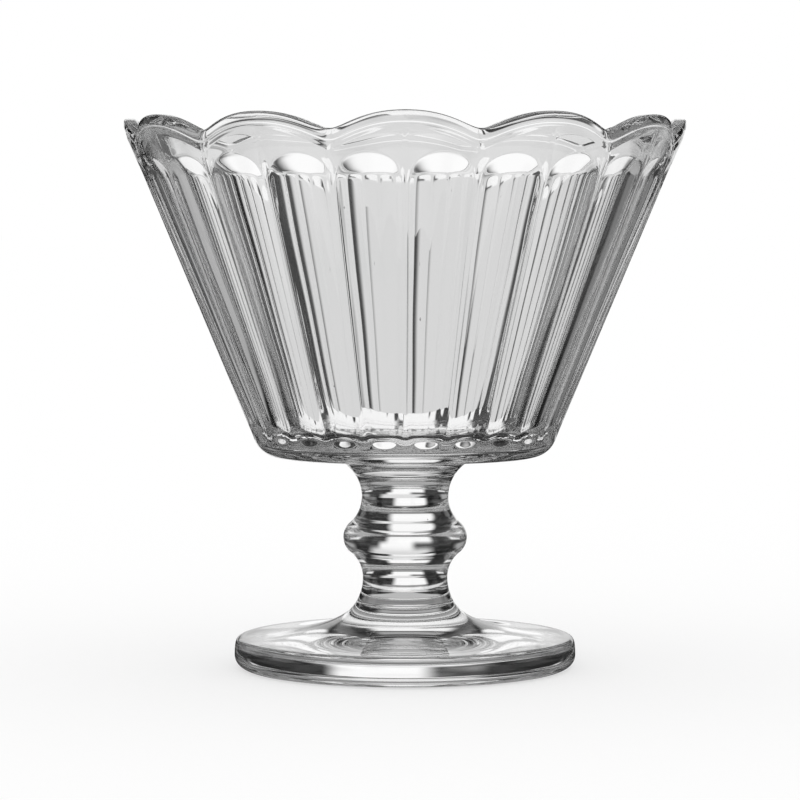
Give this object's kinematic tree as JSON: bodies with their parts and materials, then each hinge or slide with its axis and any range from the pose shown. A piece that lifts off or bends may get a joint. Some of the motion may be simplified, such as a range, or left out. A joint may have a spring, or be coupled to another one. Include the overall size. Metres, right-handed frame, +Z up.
{
  "type": "parfait glass",
  "caption": "Clear pressed dessert glass: flared fluted bowl with a scalloped rim, on a short knopped stem and a thick round foot.",
  "frame": {"origin": "centre of the foot's underside, on the table", "axes": "+Z up along the glass's axis; a scallop's peak lies on each of the X and Y axes"},
  "size_m": [0.112, 0.112, 0.1096],
  "materials": {
    "clear_glass": "fire-polished clear soda-lime glass"
  },
  "bodies": {
    "root": {"foot": "clear_glass", "stem": "clear_glass", "bowl": "clear_glass"}
  },
  "joints": []
}
